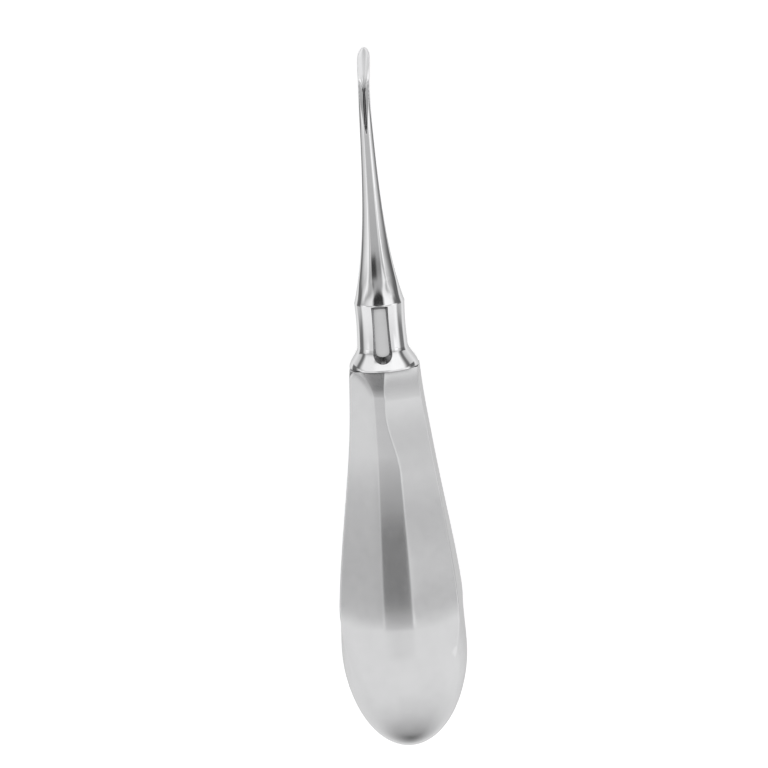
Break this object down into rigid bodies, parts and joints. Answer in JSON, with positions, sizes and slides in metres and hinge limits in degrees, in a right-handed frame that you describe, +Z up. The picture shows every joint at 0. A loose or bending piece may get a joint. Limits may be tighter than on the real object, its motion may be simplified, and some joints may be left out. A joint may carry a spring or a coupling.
{
  "type": "root elevator",
  "caption": "Straight root elevator with a pear-shaped faceted steel handle, a polished bolster, a tapering shank and a narrow gouge blade.",
  "frame": {"origin": "on the table, under the middle of the instrument's bounding box", "axes": "+Y from the handle towards the tip of the blade, +Z up; the scoop of the blade faces up"},
  "size_m": [0.026, 0.1478, 0.0237],
  "materials": {
    "satin_steel": "fine satin",
    "polished_steel": "polished"
  },
  "bodies": {
    "root": {"handle": "satin_steel", "working_end": "polished_steel"}
  },
  "joints": []
}
